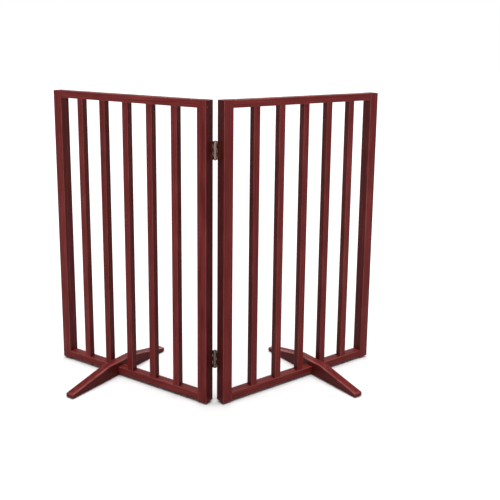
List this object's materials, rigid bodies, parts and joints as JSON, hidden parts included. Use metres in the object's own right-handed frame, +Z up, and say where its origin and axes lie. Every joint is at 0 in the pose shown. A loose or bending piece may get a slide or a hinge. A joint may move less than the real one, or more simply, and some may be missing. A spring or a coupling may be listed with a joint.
{
  "type": "pet gate",
  "caption": "Free-standing folding gate for small pets: slatted wooden panels joined by butt hinges, each held upright by a lift-off cross foot.",
  "frame": {"origin": "centre of the footprint at floor level, with the panels standing as a V", "axes": "+Z up; +X along the gate's span from left to right; -Y towards the front, where the V points"},
  "size_m": [0.698, 0.274, 0.61],
  "materials": {
    "frame_wood": "red-brown stained softwood, satin clear coat",
    "picket_wood": "red-brown stained softwood, satin clear coat",
    "foot_wood": "red-brown stained softwood, satin clear coat",
    "bare_wood": "plain beech dowel",
    "hinge_metal": "dark bronze finish, slightly worn",
    "hinge_pin_metal": "dark steel pin",
    "screw_metal": "bronze-plated steel",
    "pad_rubber": "matte black rubber"
  },
  "bodies": {
    "left_panel": {"left_outer_stile": "frame_wood", "left_hinge_stile": "frame_wood", "left_top_rail": "frame_wood", "left_bottom_rail": "frame_wood", "left_picket_1": "picket_wood", "left_picket_2": "picket_wood", "left_picket_3": "picket_wood", "left_picket_4": "picket_wood", "left_picket_5": "picket_wood", "left_dowels": "bare_wood", "left_outer_pad": "pad_rubber", "left_inner_pad": "pad_rubber", "upper_hinge_left_leaf": "hinge_metal", "upper_hinge_pin": "hinge_pin_metal", "upper_hinge_left_screws": "screw_metal", "lower_hinge_left_leaf": "hinge_metal", "lower_hinge_pin": "hinge_pin_metal", "lower_hinge_left_screws": "screw_metal"},
    "right_panel": {"right_outer_stile": "frame_wood", "right_hinge_stile": "frame_wood", "right_top_rail": "frame_wood", "right_bottom_rail": "frame_wood", "right_picket_1": "picket_wood", "right_picket_2": "picket_wood", "right_picket_3": "picket_wood", "right_picket_4": "picket_wood", "right_picket_5": "picket_wood", "right_dowels": "bare_wood", "right_outer_pad": "pad_rubber", "right_inner_pad": "pad_rubber", "upper_hinge_right_leaf": "hinge_metal", "upper_hinge_right_screws": "screw_metal", "lower_hinge_right_leaf": "hinge_metal", "lower_hinge_right_screws": "screw_metal"},
    "left_foot": {"left_foot": "foot_wood", "left_foot_front_pad": "pad_rubber", "left_foot_back_pad": "pad_rubber"},
    "right_foot": {"right_foot": "foot_wood", "right_foot_front_pad": "pad_rubber", "right_foot_back_pad": "pad_rubber"}
  },
  "joints": [
    {"name": "panel_fold", "type": "hinge", "parent": "left_panel", "child": "right_panel", "pos_m": [0, -0.12025, 0.305], "axis": [0, 0, 1], "range_deg": [-70, 50]},
    {"name": "left_foot_lift", "type": "slide", "parent": "left_panel", "child": "left_foot", "axis": [0, 0, 1], "range_m": [0, 0.03]},
    {"name": "right_foot_lift", "type": "slide", "parent": "right_panel", "child": "right_foot", "axis": [0, 0, 1], "range_m": [0, 0.03]}
  ]
}
